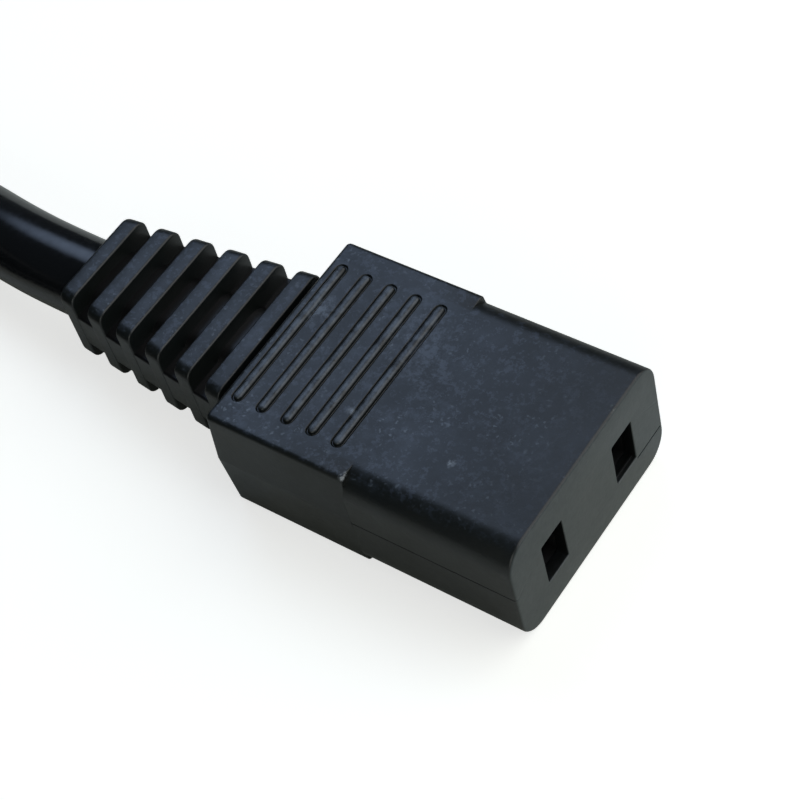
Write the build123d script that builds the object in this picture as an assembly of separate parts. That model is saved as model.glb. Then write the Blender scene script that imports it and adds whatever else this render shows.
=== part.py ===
from build123d import *
import math
import os

# An appliance power cord: a moulded two-pole connector with its strain relief, and the cord and plug
# behind it. Millimetres. +X points out of the connector's face and +Z is up. The origin lies under the
# middle of the connector.

# Connector, front part
contact_pitch = 11.0
face_width = 22.7
face_height = 12.4
face_corner_radius = 2.6
face_edge_radius = 0.25
front_length = 16.5
face_wall = 1.2
slot_width = 3.1
slot_height = 5.2
slot_drop = 0.15  # the slots lie this far below the face's middle

# Connector, grip
grip_length = 14.6
grip_edge_width = 21.7  # across the flat top, which is narrower than the sides at their middle
grip_waist_width = 22.8
grip_edge_radius = 0.55
grip_rear_radius = 0.5

# Finger ridges, each a rounded bar in a shallow groove
ridge_count = 5
ridge_pitch = 2.66
ridge_setback = 2.5  # from the front part to the first ridge's middle
ridge_length = 16.7
ridge_groove_width = 1.25
ridge_groove_depth = 0.18
ridge_bar_width = 0.8
ridge_height = 0.25  # above the grip's flat
ridge_bar_radius = 0.22

# Strain relief: ribs on a flat spine and a rounded middle
rib_count = 6
first_gap = 1.6
rib_gap = 2.0
rib_length = 1.85
relief_front_half_width = 8.0
relief_rear_half_width = 5.4
relief_half_height = 4.4
relief_lean = 0.3  # the cord's bend draws the relief's end this far towards +Y
relief_corner_radius = 1.05
relief_end_radius = 0.35
spine_half_height = 2.0
middle_width = 8.8
middle_height = 5.5

# Contact carrier and receptacles
carrier_width = 18.2
carrier_height = 9.0
carrier_length = 15.6
carrier_wall = 1.0
carrier_edge_radius = 0.8
chamber_width = 4.6
chamber_height = 6.2
sheet = 0.4
contact_height = 4.4
contact_arm_length = 8.8
contact_throat_setback = 2.2  # from the arms' front ends to where they pinch the pin
contact_parallel_setback = 5.3  # and to where they become parallel
contact_arm_gap = 3.0
contact_throat_gap = 1.7
contact_mouth_gap = 2.8
barrel_radius = 1.35
barrel_length = 4.6
strand_radius = 0.95

# Cord
sheath_radius = 4.0
core_radius = 1.35
core_pitch = 3.2
core_lead = 5.0  # each core runs straight this far from its contact
core_slant = 12.0  # and over this length towards its neighbour
socket_depth = 1.5
mould_gap = 0.05
overshoot = 1.0  # how far a cut runs past the face that it opens

# The sheath's corners between the strain relief and the coil: how far behind the relief's end, how far
# towards +Y, and the share of the fall from the connector's axis to the coil's lower layer
sheath_corners = (
    (5.5, 0.0, 0.0),
    (11.9, 0.55, 0.18),
    (17.7, 1.62, 0.63),
    (22.5, 2.33, 0.9),
    (26.7, 2.63, 1.0),
    (30.5, 2.63, 1.0),
)

# Put-away coil: turns in two layers of three
turn_gap = 0.15
turns_wide = 3
turns_high = 2
coil_mean_radius = 43.5
coil_lead_in_gap = 0.3  # between the sheath's end and the ring's rounded side
tie_thickness = 0.45
tie_arc = 14.0
tie_angle = 8.0
climb_radius = 48.0  # the last turn curves so while it climbs over the ring to the plug
climb_start = 50.2  # from the coil's middle to where the climb begins
climb_shares = (0.0, 0.125, 0.375, 0.625, 0.875, 1.0)  # of the rise, at each of its corners
climb_corner_count = 4  # the coil's node ends halfway between this corner and the next

# Plug with two flat blades
plug_width = 24.0
plug_height = 16.0
plug_corner_radius = 5.0
plug_face_radius = 1.0
plug_block_length = 19.0
plug_shoulder_length = 7.0
plug_relief_length = 22.0
plug_socket_depth = 3.5
plug_relief_front_width = 14.0
plug_relief_front_height = 12.0
plug_relief_rear_width = 10.6
plug_relief_rear_height = 10.0
plug_rib_count = 5
plug_groove_width = 1.7
plug_groove_depth = 1.1
plug_groove_pitch = 3.6
plug_first_groove = 1.4  # from the shoulder to the first groove
blade_spacing = 12.7
blade_height = 6.35
blade_thickness = 1.52
blade_reach = 17.0
blade_tip_chamfer = 1.2
blade_hole_radius = 1.6
blade_hole_setback = 5.0  # from the blade's tip
bridge_width = 18.4
bridge_height = 9.6
bridge_depth = 8.0

# Places that follow from the sizes above
relief_length = first_gap + (rib_count - 1) * rib_gap + rib_count * rib_length
connector_length = front_length + grip_length + relief_length
face_x = connector_length / 2
step_x = face_x - front_length
grip_rear_x = step_x - grip_length
relief_end_x = grip_rear_x - relief_length
axis_z = face_height / 2 + ridge_height
slot_z = axis_z - slot_drop
sheath_start_x = relief_end_x + socket_depth
carrier_front_x = face_x - face_wall
carrier_rear_x = carrier_front_x - carrier_length
contact_front_x = carrier_front_x - carrier_wall - mould_gap
web_x = contact_front_x - contact_arm_length
barrel_rear_x = web_x - sheet - barrel_length

# The sheath's stretch from the strain relief to the coil
coil_base = tie_thickness + 2 * mould_gap
turn_pitch = 2 * sheath_radius + turn_gap
coil_level = coil_base + turn_gap / 2 + sheath_radius
sheath_fall = axis_z - coil_level
sheath_route = [(sheath_start_x, 0.0, axis_z)] + [
    (relief_end_x - behind, aside, axis_z - share * sheath_fall) for behind, aside, share in sheath_corners
]

# Coil's ring
outer_turn_radius = coil_mean_radius + (turns_wide - 1) / 2 * turn_pitch
ring_outer_radius = coil_mean_radius + turns_wide / 2 * turn_pitch
ring_inner_radius = coil_mean_radius - turns_wide / 2 * turn_pitch
ring_height = turns_high * turn_pitch
lead_in_length = math.sqrt((ring_outer_radius + sheath_radius) ** 2 - outer_turn_radius**2)
coil_x = sheath_route[-1][0] - lead_in_length - coil_lead_in_gap
coil_y = sheath_route[-1][1] - outer_turn_radius
coil_top = coil_base + ring_height

# Plug's place, lying on the ring
plug_y = coil_y - coil_mean_radius
plug_z = coil_top + 2 * mould_gap + plug_height / 2
climb_turn = math.radians(90) / len(climb_shares)
climb_run = 2 * climb_radius * math.tan(climb_turn / 2)
climb_middle_x = coil_x - climb_start + climb_radius
climb_middle_y = plug_y + climb_radius
plug_socket_x = climb_middle_x + climb_run / 2
plug_rear_x = plug_socket_x - plug_socket_depth
plug_face_x = plug_rear_x + plug_relief_length + plug_shoulder_length + plug_block_length


def arc_radii(route):
    """The largest arc that each corner of a route has room for, with a little straight left between arcs."""
    radii = []
    for before, corner, after in zip(route, route[1:], route[2:]):
        way_in = Vector(*corner) - Vector(*before)
        way_out = Vector(*after) - Vector(*corner)
        turn = math.radians(way_in.get_angle(way_out))
        shorter = min(way_in.length, way_out.length)
        radii.append(0.45 * shorter / math.tan(turn / 2))
    return radii


def tube(route, radius, radii):
    """A round rod along straight runs joined by tangent arcs."""
    path = FilletPolyline(*route, radius=radii)
    start = Plane(origin=path @ 0, z_dir=path % 0)
    return sweep(start * Circle(radius), path=path)


def rod(start, end, radius):
    """A straight round rod between two points."""
    way = Vector(*end) - Vector(*start)
    return extrude(Plane(origin=start, z_dir=way) * Circle(radius), amount=way.length)


def across(x, y=0.0, z=axis_z):
    """A plane across the connector's axis: its own x runs along +Y and its own y along +Z."""
    return Plane(origin=(x, y, z), x_dir=(0, 1, 0), z_dir=(1, 0, 0))


def block(x_from, x_to, width, height, y=0.0, z=axis_z):
    """A square-cornered block between two places on X."""
    return extrude(across(x_from, y, z) * Rectangle(width, height), amount=x_to - x_from)


def rounded_block(x_from, x_to, width, height, radius, y=0.0, z=axis_z):
    """A block whose long edges are rounded."""
    section = across(x_from, y, z) * RectangleRounded(width, height, radius)
    return extrude(section, amount=x_to - x_from)


def front_part():
    """The part that enters the inlet, with large rounded corners and a softened face edge."""
    solid = rounded_block(step_x, face_x, face_width, face_height, face_corner_radius)
    rim = solid.faces().sort_by(Axis.X)[-1].edges()
    return fillet(rim, face_edge_radius)


def grip():
    """The grip: flat top and underside, and sides that stand out towards the parting line."""
    half_edge = grip_edge_width / 2
    half_waist = grip_waist_width / 2
    half_height = face_height / 2
    outline = Polygon(
        (half_edge, half_height),
        (-half_edge, half_height),
        (-half_waist, 0),
        (-half_edge, -half_height),
        (half_edge, -half_height),
        (half_waist, 0),
        align=None,
    )
    corners = [v for v in outline.vertices() if abs(v.Y) > half_height / 2]
    outline = fillet(corners, grip_edge_radius)
    solid = extrude(across(step_x) * outline, amount=-grip_length)
    rim = solid.faces().sort_by(Axis.X)[0].edges()
    return fillet(rim, grip_rear_radius)


def ridge_places():
    return [step_x - ridge_setback - i * ridge_pitch for i in range(ridge_count)]


def ridge_groove(x):
    top = axis_z + face_height / 2
    outline = Plane(origin=(x, 0, top)) * SlotOverall(ridge_length, ridge_groove_width, rotation=90)
    return extrude(outline, amount=-ridge_groove_depth)


def ridge_bar(x):
    """A rounded bar that stands in its groove and a little above the flat."""
    floor = axis_z + face_height / 2 - ridge_groove_depth
    length = ridge_length - (ridge_groove_width - ridge_bar_width)
    outline = Plane(origin=(x, 0, floor)) * SlotOverall(length, ridge_bar_width, rotation=90)
    bar = extrude(outline, amount=ridge_groove_depth + ridge_height)
    return fillet(bar.faces().sort_by(Axis.Z)[-1].edges(), ridge_bar_radius)


def with_ridges(solid):
    """The same ridges above and, mirrored, below."""
    middle = Plane(origin=(0, 0, axis_z))
    for x in ridge_places():
        groove = ridge_groove(x)
        solid = solid - groove - mirror(groove, about=middle)
    for x in ridge_places():
        bar = ridge_bar(x)
        solid = solid + bar + mirror(bar, about=middle)
    return solid


def relief_section(x):
    share = (grip_rear_x - x) / relief_length
    half_width = relief_front_half_width + share * (relief_rear_half_width - relief_front_half_width)
    outline = RectangleRounded(2 * half_width, 2 * relief_half_height, relief_corner_radius)
    return across(x, share * relief_lean) * outline


def strain_relief():
    """A tapered block, slotted from above and below so that ribs stand on a spine."""
    inside_grip = grip_rear_x + grip_rear_radius + overshoot
    solid = loft([relief_section(inside_grip), relief_section(relief_end_x)])
    rim = solid.faces().sort_by(Axis.X)[0].edges()
    solid = fillet(rim, relief_end_radius)
    middle = rounded_block(
        relief_end_x, grip_rear_x, middle_width, middle_height, middle_height / 2 - mould_gap
    )
    slot_reach = relief_half_height - spine_half_height + overshoot
    slot_middle = spine_half_height + slot_reach / 2
    for i in range(rib_count):
        gap = rib_gap if i else first_gap
        slot_rear = grip_rear_x - first_gap - i * (rib_gap + rib_length)
        for side in (1, -1):
            slot = block(
                slot_rear,
                slot_rear + gap,
                4 * relief_front_half_width,
                slot_reach,
                z=axis_z + side * slot_middle,
            )
            solid = solid - (slot - middle)
    return solid


def core_route(side, from_x, from_y, to_x, y=0.0, z=axis_z):
    """A core from its contact to the sheath: straight, across to its neighbour, and straight again."""
    near = y + side * core_pitch / 2
    return [
        (from_x, y + side * from_y, z),
        (from_x - core_lead, y + side * from_y, z),
        (from_x - core_lead - core_slant, near, z),
        (to_x, near, z),
    ]


def connector_core(side, radius=core_radius):
    route = core_route(side, barrel_rear_x, contact_pitch / 2, sheath_start_x)
    return tube(route, radius, arc_radii(route))


def connector_body():
    """The overmoulding in one piece, hollow where it is moulded round the carrier, cores and sheath."""
    solid = front_part() + grip()
    solid = with_ridges(solid) + strain_relief()
    solid = solid - rounded_block(
        carrier_rear_x - mould_gap,
        carrier_front_x,
        carrier_width + 2 * mould_gap,
        carrier_height + 2 * mould_gap,
        carrier_edge_radius + mould_gap,
        z=slot_z,
    )
    for side in (1, -1):
        y = side * contact_pitch / 2
        slot_rear, slot_front = carrier_front_x - overshoot, face_x + overshoot
        solid = solid - block(slot_rear, slot_front, slot_width, slot_height, y, slot_z)
        solid = solid - connector_core(side, core_radius + mould_gap)
    socket_mouth = (relief_end_x - overshoot, 0, axis_z)
    socket_end = (sheath_start_x + mould_gap, 0, axis_z)
    return solid - rod(socket_mouth, socket_end, sheath_radius + mould_gap)


def contact_carrier():
    """A block with a chamber for each contact, open behind and slotted in front."""
    front = carrier_front_x - mould_gap
    solid = rounded_block(
        carrier_rear_x, front, carrier_width, carrier_height, carrier_edge_radius, z=slot_z
    )
    for side in (1, -1):
        y = side * contact_pitch / 2
        solid = solid - block(
            carrier_rear_x - overshoot,
            carrier_front_x - carrier_wall,
            chamber_width,
            chamber_height,
            y,
            slot_z,
        )
        solid = solid - block(carrier_rear_x, carrier_front_x + overshoot, slot_width, slot_height, y, slot_z)
    return solid


def receptacle(side):
    """Sheet brass bent into two arms that pinch the pin, with a rolled barrel behind for the strands."""
    y = side * contact_pitch / 2
    parallel = contact_arm_gap / 2 + sheet / 2
    throat = contact_throat_gap / 2 + sheet / 2
    mouth = contact_mouth_gap / 2 + sheet / 2
    profile = Polyline(
        (contact_front_x - sheet, y + mouth),
        (contact_front_x - contact_throat_setback, y + throat),
        (contact_front_x - contact_parallel_setback, y + parallel),
        (web_x - sheet / 2, y + parallel),
        (web_x - sheet / 2, y - parallel),
        (contact_front_x - contact_parallel_setback, y - parallel),
        (contact_front_x - contact_throat_setback, y - throat),
        (contact_front_x - sheet, y - mouth),
    )
    strip = Plane(origin=(0, 0, slot_z - contact_height / 2)) * trace(profile, line_width=sheet)
    arms = extrude(strip, amount=contact_height)
    barrel_front = web_x - sheet / 2
    barrel = rod((barrel_front, y, axis_z), (barrel_rear_x, y, axis_z), barrel_radius)
    bore = rod((web_x - sheet, y, axis_z), (barrel_rear_x - overshoot, y, axis_z), strand_radius + mould_gap)
    return arms + barrel - bore


def strands(front_x, rear_x, y, z):
    return rod((front_x, y, z), (rear_x, y, z), strand_radius)


def ring():
    """The outer shape of the coil's turns."""
    outer = Pos(coil_x, coil_y, coil_base + ring_height / 2) * Cylinder(ring_outer_radius, ring_height)
    inner = Pos(coil_x, coil_y, coil_base + ring_height / 2) * Cylinder(ring_inner_radius, 2 * ring_height)
    return outer - inner


def climb_points():
    """From the top layer a quarter turn round and up, over the ring, and level into the plug."""
    from_z = coil_level + turn_pitch
    reach = climb_radius / math.cos(climb_turn / 2)
    points = [(climb_middle_x - climb_radius, climb_middle_y + climb_run / 2, from_z)]
    for i, share in enumerate(climb_shares):
        angle = math.pi + (i + 0.5) * climb_turn
        x = climb_middle_x + reach * math.cos(angle)
        y = climb_middle_y + reach * math.sin(angle)
        points.append((x, y, from_z + share * (plug_z - from_z)))
    points.append((plug_socket_x, plug_y, plug_z))
    return points


climb = climb_points()
climb_radii = arc_radii(climb)
split_point = tuple((a + b) / 2 for a, b in zip(climb[climb_corner_count], climb[climb_corner_count + 1]))
coil_route = climb[: climb_corner_count + 1] + [split_point]
tail_route = [split_point] + climb[climb_corner_count + 1 :]


def cord_coil():
    """The turns as one solid, with the straight stretch that enters them and the climb that leaves them."""
    solid = ring() + rod(sheath_route[-1], (coil_x, sheath_route[-1][1], coil_level), sheath_radius)
    return solid + tube(coil_route, sheath_radius, climb_radii[:climb_corner_count])


def coil_tie():
    """A strap round the ring's section, following its curve."""
    inner_size = (ring_outer_radius - ring_inner_radius + 2 * mould_gap, ring_height + 2 * mould_gap)
    outer_size = (inner_size[0] + 2 * tie_thickness, inner_size[1] + 2 * tie_thickness)
    section_plane = Plane(
        origin=(coil_x, coil_y, coil_base + ring_height / 2), x_dir=(1, 0, 0), z_dir=(0, -1, 0)
    ).rotated((0, 0, tie_angle))
    loop = Pos(coil_mean_radius, 0) * (Rectangle(*outer_size) - Rectangle(*inner_size))
    upright = Axis((coil_x, coil_y, 0), (0, 0, 1))
    return revolve(section_plane * loop, axis=upright, revolution_arc=tie_arc)


def plug_core(side, radius=core_radius):
    rear = plug_face_x - bridge_depth - sheet - barrel_length
    route = core_route(side, rear, blade_spacing / 2, plug_socket_x, y=plug_y, z=plug_z)
    return tube(route, radius, arc_radii(route))


def plug_body():
    """The plug's shell: a rounded block, a shoulder, and a strain relief with grooves round it."""
    shoulder_x = plug_face_x - plug_block_length
    relief_x = shoulder_x - plug_shoulder_length
    solid = rounded_block(
        shoulder_x, plug_face_x, plug_width, plug_height, plug_corner_radius, plug_y, plug_z
    )
    solid = fillet(solid.faces().sort_by(Axis.X)[-1].edges(), plug_face_radius)
    front = across(shoulder_x, plug_y, plug_z) * RectangleRounded(plug_width, plug_height, plug_corner_radius)
    neck = across(relief_x, plug_y, plug_z) * RectangleRounded(
        plug_relief_front_width, plug_relief_front_height, plug_corner_radius
    )
    end = across(plug_rear_x, plug_y, plug_z) * RectangleRounded(
        plug_relief_rear_width, plug_relief_rear_height, plug_relief_rear_height / 2 - mould_gap
    )
    solid = solid + loft([front, neck])
    relief = loft([neck, end])
    for i in range(plug_rib_count):
        x = relief_x - plug_first_groove - i * plug_groove_pitch
        share = (relief_x - x) / plug_relief_length
        width = plug_relief_front_width + share * (plug_relief_rear_width - plug_relief_front_width)
        height = plug_relief_front_height + share * (plug_relief_rear_height - plug_relief_front_height)
        cutter = block(x - plug_groove_width, x, 2 * plug_width, 2 * plug_height, plug_y, plug_z)
        left = rounded_block(
            x - 2 * plug_groove_width,
            x + plug_groove_width,
            width - 2 * plug_groove_depth,
            height - 2 * plug_groove_depth,
            height / 2 - plug_groove_depth - 2 * mould_gap,
            plug_y,
            plug_z,
        )
        relief = relief - (cutter - left)
    solid = solid + relief
    solid = solid - block(
        plug_face_x - bridge_depth,
        plug_face_x + overshoot,
        bridge_width + 2 * mould_gap,
        bridge_height + 2 * mould_gap,
        plug_y,
        plug_z,
    )
    rear = plug_face_x - bridge_depth - sheet - barrel_length
    for side in (1, -1):
        y = plug_y + side * blade_spacing / 2
        solid = solid - block(
            rear, plug_face_x, 2 * barrel_radius + 2 * mould_gap, blade_height + 2 * mould_gap, y, plug_z
        )
        solid = solid - plug_core(side, core_radius + mould_gap)
    socket_end = (plug_socket_x + mould_gap, plug_y, plug_z)
    return solid - rod((plug_rear_x - overshoot, plug_y, plug_z), socket_end, sheath_radius + mould_gap)


def plug_bridge():
    """The insert behind the plug's face that holds both blades."""
    solid = block(
        plug_face_x - bridge_depth + mould_gap, plug_face_x, bridge_width, bridge_height, plug_y, plug_z
    )
    for side in (1, -1):
        solid = solid - block(
            plug_face_x - 2 * bridge_depth,
            plug_face_x + overshoot,
            blade_thickness + 2 * mould_gap,
            blade_height + 2 * mould_gap,
            plug_y + side * blade_spacing / 2,
            plug_z,
        )
    return solid


def blade(side):
    """A flat blade with a chamfered tip and a hole, and a barrel behind for the strands."""
    y = plug_y + side * blade_spacing / 2
    tip = plug_face_x + blade_reach
    root = plug_face_x - bridge_depth - sheet
    solid = block(root, tip, blade_thickness, blade_height, y, plug_z)
    tip_edges = solid.faces().sort_by(Axis.X)[-1].edges().filter_by(Axis.Y)
    solid = chamfer(tip_edges, blade_tip_chamfer)
    hole_x = tip - blade_hole_setback
    solid = solid - rod((hole_x, y - plug_width, plug_z), (hole_x, y + plug_width, plug_z), blade_hole_radius)
    barrel = rod((root + sheet, y, plug_z), (root - barrel_length, y, plug_z), barrel_radius)
    bore = rod((root, y, plug_z), (root - barrel_length - overshoot, y, plug_z), strand_radius + mould_gap)
    return solid + barrel - bore


def all_parts():
    contact_y = contact_pitch / 2
    blade_root = plug_face_x - bridge_depth - sheet
    blade_y = blade_spacing / 2
    return {
        "connector_body": connector_body(),
        "contact_carrier": contact_carrier(),
        "line_contact": receptacle(1),
        "neutral_contact": receptacle(-1),
        "line_core": connector_core(1),
        "neutral_core": connector_core(-1),
        "line_strands": strands(web_x - sheet, barrel_rear_x, contact_y, axis_z),
        "neutral_strands": strands(web_x - sheet, barrel_rear_x, -contact_y, axis_z),
        "cord_sheath": tube(sheath_route, sheath_radius, arc_radii(sheath_route)),
        "cord_coil": cord_coil(),
        "coil_tie": coil_tie(),
        "cord_tail": tube(tail_route, sheath_radius, climb_radii[climb_corner_count:]),
        "plug_body": plug_body(),
        "plug_bridge": plug_bridge(),
        "line_blade": blade(1),
        "neutral_blade": blade(-1),
        "plug_line_core": plug_core(1),
        "plug_neutral_core": plug_core(-1),
        "plug_line_strands": strands(blade_root, blade_root - barrel_length, plug_y + blade_y, plug_z),
        "plug_neutral_strands": strands(blade_root, blade_root - barrel_length, plug_y - blade_y, plug_z),
    }


def main():
    os.makedirs("parts", exist_ok=True)
    print("sheath arc radii", [round(r, 1) for r in arc_radii(sheath_route)])
    print("climb arc radii", [round(r, 1) for r in climb_radii])
    for name, solid in all_parts().items():
        solid.label = name
        export_step(solid, f"parts/{name}.step")
        print(name, "volume", round(solid.volume, 1))


main()
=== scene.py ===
import math

import bmesh
import bpy
from mathutils import Matrix, Vector
from mathutils.geometry import tessellate_polygon


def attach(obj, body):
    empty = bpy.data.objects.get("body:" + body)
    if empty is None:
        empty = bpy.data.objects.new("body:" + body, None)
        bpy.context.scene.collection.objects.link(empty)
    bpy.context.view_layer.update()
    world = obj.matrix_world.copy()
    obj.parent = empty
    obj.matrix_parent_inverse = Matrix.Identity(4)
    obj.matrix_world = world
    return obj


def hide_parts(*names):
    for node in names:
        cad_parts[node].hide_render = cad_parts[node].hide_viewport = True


# Sizes are in millimetres, as in the CAD model, and become metres where a mesh or a curve is made.
MM = 0.001

# The connector's main places along X, its axis and its height
FACE_X = 26.9
STEP_X = 10.4
GRIP_REAR_X = -4.2
RELIEF_END_X = -26.9
AXIS_Z = 6.45
HALF_HEIGHT = 6.2

FLAT_HALF = 8.75  # the flat that the grip and the front part share reaches this far each way
FRONT_HALF_WIDTH = 11.35
FRONT_CORNER = 2.6
FACE_EDGE = 0.28
STEP_EDGE = 0.14
GRIP_EDGE_HALF = 10.85
GRIP_WAIST_HALF = 11.4
GRIP_CORNER = 0.5
GRIP_REAR_EDGE = 0.45
REAR_WAIST = 0.75  # at its rear the grip is widest this far above the axis, where its halves meet
STEP_WAIST = 0.45  # and this far at the step
# Heights of the points down the grip's side, close together beside the front part's corner, and of the
# last two above the waist
GRIP_SIDE_HEIGHTS = (5.2, 4.72, 4.31, 3.95, 3.6, 2.9, 2.2)
ABOVE_WAIST = (0.35, 0.07)

# The parting line's groove along the front part, and the short piece of it that shows on the face
SEAM_DEPTH_AT_STEP = 0.015
SEAM_DEPTH_AT_FACE = 0.1
FACE_SEAM_Y = (7.16, 10.98)
FACE_SEAM_Z = (3.35, 3.53)
FACE_SEAM_DEPTH = 0.25

SLOT_Y = 5.5
SLOT_Z = 6.3
SLOT_WIDTH = 3.1
SLOT_HEIGHT = 5.2
SLOT_CORNER = 0.12
SLOT_DEPTH = 1.2
SLOT_EDGE = 0.05
SLOT_EDGE_DEPTH = 0.06

# Flash left in the slots: its reach from the face, from the slot's middle and from the slot's floor
FLASH_LIP = ((-0.56, -0.42), (-1.53, 1.53), (-0.02, 0.2))
FLASH_SPECK = ((-0.4, -0.2), (-1.57, -1.4), (4.1, 4.4))

RIDGE_COUNT = 5
RIDGE_PITCH = 2.66
RIDGE_FIRST_X = STEP_X - 2.5
RIDGE_LENGTH = 16.7
RIDGE_GROOVE = 1.25
# A ridge's section, from its groove's brink to its crest: half widths, and heights from the flat
RIDGE_SECTION = (
    (0.675, 0.0),
    (0.635, -0.025),
    (0.585, -0.11),
    (0.535, -0.16),
    (0.475, -0.17),
    (0.44, -0.14),
    (0.42, 0.03),
    (0.38, 0.13),
    (0.3, 0.2),
    (0.19, 0.24),
    (0.07, 0.255),
)

RIB_COUNT = 6
FIRST_GAP = 1.6
RIB_GAP = 2.0
RIB_LENGTH = 1.85
RIB_HALF_HEIGHT = 4.4
RIB_CORNER = 1.15
RIB_EDGE = 0.22
LAST_RIB_EDGE = 0.4
RELIEF_FRONT_HALF = 8.0
RELIEF_END_HALF = 5.4
RELIEF_LEAN = 0.3  # towards the cord's bend
SPINE_HALF_HEIGHT = 2.0
SPINE_CORNER = 0.25
SPINE_SETBACK = 0.05  # from the ribs' sides
MIDDLE_HALF_WIDTH = 4.4
MIDDLE_HALF_HEIGHT = 2.75
MIDDLE_CORNER = 2.7
SPINE_EDGE = 0.05  # on the ends of spine and middle
SPINE_OVERLAP = 0.6  # spine and middle start so far inside the last rib and end so far inside the grip

SHEATH_RADIUS = 4.0

# The coil that is put away: its middle, the middle turns' radius and the height of the lower layer's
# axis. Its turns lie a cord apart. Angles are in degrees along the cord, from its entry.
COIL_X = -87.689
COIL_Y = -49.02
COIL_RADIUS = 43.5
COIL_LEVEL = 4.625
TURN_PITCH = 8.15
WOUND_FROM = 7.5
WOUND_TO = 1862.0
WOUND_STEP = 15.0
POINTS_OUTSIDE = 1 / 0.9915  # control points of a round turn lie this much outside it
CLIMB_DRAW_IN = 3.4  # the innermost turn draws in by this while it climbs to the upper layer

BAND_FROM = 8.0
BAND_TO = 22.0
BAND_CORNER = 4.1
BAND_THICKNESS = 0.42
BAND_SLACK = 0.1
BAND_EDGE = 0.2  # degrees
BAND_EDGE_SHARE = 0.6  # of the thickness, at the band's very edge

# The plug, from its face back to the end of its own strain relief
PLUG_Y = -92.52
PLUG_Z = 24.95
PLUG_HALF_WIDTH = 12.0
PLUG_HALF_HEIGHT = 8.0
PLUG_CORNER = 5.0
PLUG_FACE_EDGE = 1.0
NECK_LENGTH = 7.0
NECK_HALF_WIDTH = 7.0
NECK_HALF_HEIGHT = 6.0
PLUG_RELIEF_LENGTH = 22.0
PLUG_END_HALF_WIDTH = 5.3
PLUG_END_HALF_HEIGHT = 5.0
PLUG_END_EDGE = 0.6
PLUG_FACE_X = -39.07
PLUG_SHOULDER_X = PLUG_FACE_X - 19.0
PLUG_RELIEF_X = PLUG_SHOULDER_X - NECK_LENGTH
PLUG_REAR_X = PLUG_RELIEF_X - PLUG_RELIEF_LENGTH
GROOVE_COUNT = 5
GROOVE_PITCH = 3.6
GROOVE_WIDTH = 1.7
GROOVE_DEPTH = 1.1
GROOVE_FRONTS = [PLUG_RELIEF_X - 1.4 - i * GROOVE_PITCH for i in range(GROOVE_COUNT)]
RECESS_HALF_WIDTH = 9.25
RECESS_HALF_HEIGHT = 4.85
RECESS_CORNER = 0.3
RECESS_DEPTH = 0.4

MERGE_DISTANCE = 0.002
SHARP_ANGLE = 30.0  # degrees
CORNERS = ((0, 0), (1, 0), (1, 1), (0, 1))  # the ends of two spans that meet at a rectangle's corners

FLOOR_HALF_SIZE = 0.8  # metres
FLOOR_LIFT = 0.66  # what the camera sees of the floor is lifted by this, to white
WINDOW_WAY = (-0.49, 0.42, 0.765)  # towards the soft window in the world
WINDOW_EDGE = (0.93, 0.99)  # cosines of the angles at which its light begins and is full
WINDOW_LIGHT = (1.2, 1.54, 2.18, 1.0)  # brighter than white, so it has no hex code

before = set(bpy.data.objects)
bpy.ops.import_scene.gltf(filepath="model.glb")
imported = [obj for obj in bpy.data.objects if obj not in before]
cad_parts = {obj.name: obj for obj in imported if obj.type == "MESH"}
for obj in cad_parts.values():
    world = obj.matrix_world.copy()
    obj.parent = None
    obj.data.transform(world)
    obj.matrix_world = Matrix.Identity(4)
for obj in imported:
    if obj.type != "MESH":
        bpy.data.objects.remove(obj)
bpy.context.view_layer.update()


# Materials


def linear(code):
    """An sRGB hex colour as the linear values that a shader takes."""
    out = []
    for i in (0, 2, 4):
        c = int(code[i : i + 2], 16) / 255
        out.append(c / 12.92 if c <= 0.04045 else ((c + 0.055) / 1.055) ** 2.4)
    return (*out, 1.0)


def scale_for(size_mm):
    """The scale at which one feature of a pattern is this large."""
    return 1 / (size_mm * MM)


def add_node(tree, kind, inputs=(), out=0, **settings):
    """Adds a node with its settings. Its inputs come in order or by name, each a value or a socket to
    link. Gives back one of its outputs, or the node itself where out is None."""
    node = tree.nodes.new(kind)
    for key, value in settings.items():
        setattr(node, key, value)
    for key, value in inputs.items() if isinstance(inputs, dict) else enumerate(inputs):
        if isinstance(value, bpy.types.NodeSocket):
            tree.links.new(value, node.inputs[key])
        else:
            node.inputs[key].default_value = value
    return node if out is None else node.outputs[out]


def new_material(name):
    """An empty material and its tree."""
    material = bpy.data.materials.new(name)
    material.use_nodes = True
    material.node_tree.nodes.clear()
    return material, material.node_tree


def give_surface(tree, inputs):
    """Ends a material with its shader."""
    surface = add_node(tree, "ShaderNodeBsdfPrincipled", inputs)
    add_node(tree, "ShaderNodeOutputMaterial", {"Surface": surface}, out=None)


def lay_over(tree, base, shade, *masks):
    """The base colour with a shade laid over it where all the masks meet."""
    where = masks[0]
    for mask in masks[1:]:
        where = add_node(tree, "ShaderNodeMath", [where, mask], operation="MULTIPLY")
    # A Mix node takes its two colours at inputs 6 and 7 and gives the mixed one at output 2.
    return add_node(tree, "ShaderNodeMix", {0: where, 6: base, 7: shade}, out=2, data_type="RGBA")


def near_place(tree, coords, place_mm, reach_mm):
    """1 at a place on the part and over a fifth of its reach, then falling to 0 at the reach's end."""
    centre = tuple(c * MM for c in place_mm)
    reach = reach_mm * MM
    away = add_node(tree, "ShaderNodeVectorMath", [coords, centre], out="Value", operation="DISTANCE")
    return add_node(tree, "ShaderNodeMapRange", [away, 0.2 * reach, reach, 1.0, 0.0])


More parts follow.
